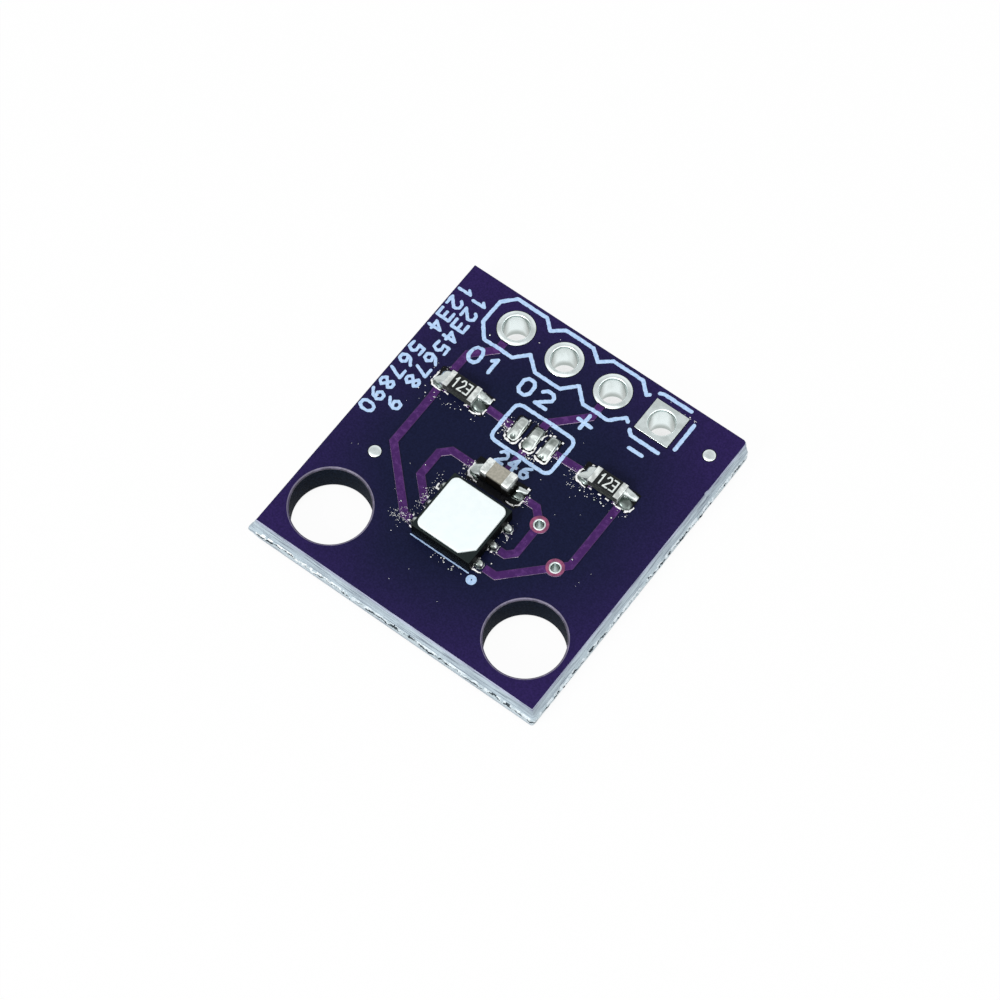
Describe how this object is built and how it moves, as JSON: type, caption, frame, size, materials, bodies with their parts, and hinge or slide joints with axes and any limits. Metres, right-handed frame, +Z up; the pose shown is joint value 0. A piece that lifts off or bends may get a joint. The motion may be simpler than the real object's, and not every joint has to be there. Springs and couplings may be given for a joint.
{
  "type": "temperature and humidity sensor module",
  "caption": "Small purple circuit board with a square humidity and temperature sensor under a white cover, chip resistors, a chip capacitor, plated header holes and mounting holes",
  "frame": {"origin": "the point under the middle of the board, on the surface that it lies on", "axes": "+X along the edge with the mounting holes, to the square header pad's side; +Y from the mounting holes to the header row; +Z up from the face with the sensor"},
  "size_m": [0.0148, 0.0156, 0.0026],
  "materials": {
    "mask": "dark purple solder mask over glass-fibre laminate, raw laminate at the edges",
    "copper": "copper under purple solder mask, smooth",
    "tin": "tinned copper, bright",
    "solder": "reflowed solder, bright and uneven",
    "plate": "tin plated chip end, satin",
    "alumina": "matte",
    "coat": "black glaze, satin",
    "ceramic": "beige-grey, matte",
    "package": "near-black moulding compound",
    "cover": "white filter membrane",
    "silicon": "polished grey chip"
  },
  "bodies": {
    "root": {"circuit_board": "mask", "header_eyelet_clock": "tin", "header_eyelet_data": "tin", "header_eyelet_supply": "tin", "header_eyelet_ground": "tin", "via_eyelet_ground": "tin", "via_eyelet_data": "tin", "placing_mark_back": "tin", "placing_mark_left": "tin", "track_clock": "copper", "track_supply": "copper", "track_pullup_left": "copper", "track_pullup_right": "copper", "track_ground": "copper", "track_data": "copper", "spare_land_left": "copper", "spare_land_right": "copper", "under_track_ground": "copper", "under_track_data": "copper", "jumper_solder_left": "solder", "jumper_solder_middle": "solder", "jumper_solder_right": "solder", "resistor_left_ceramic": "alumina", "resistor_left_coat": "coat", "resistor_right_ceramic": "alumina", "resistor_right_coat": "coat", "capacitor_ceramic": "ceramic", "resistor_left_end_left": "plate", "resistor_left_solder_left": "solder", "resistor_left_end_right": "plate", "resistor_left_solder_right": "solder", "resistor_right_end_left": "plate", "resistor_right_solder_left": "solder", "resistor_right_end_right": "plate", "resistor_right_solder_right": "solder", "capacitor_end_left": "plate", "capacitor_solder_left": "solder", "capacitor_end_right": "plate", "capacitor_solder_right": "solder", "sensor_package": "package", "sensor_thermal_pad": "plate", "sensor_chip": "silicon", "sensor_filter_cover": "cover", "sensor_contact_1": "plate", "sensor_solder_1": "solder", "sensor_contact_2": "plate", "sensor_solder_2": "solder", "sensor_contact_3": "plate", "sensor_solder_3": "solder", "sensor_contact_4": "plate", "sensor_solder_4": "solder", "sensor_contact_5": "plate", "sensor_solder_5": "solder", "sensor_contact_6": "plate", "sensor_solder_6": "solder"}
  },
  "joints": []
}
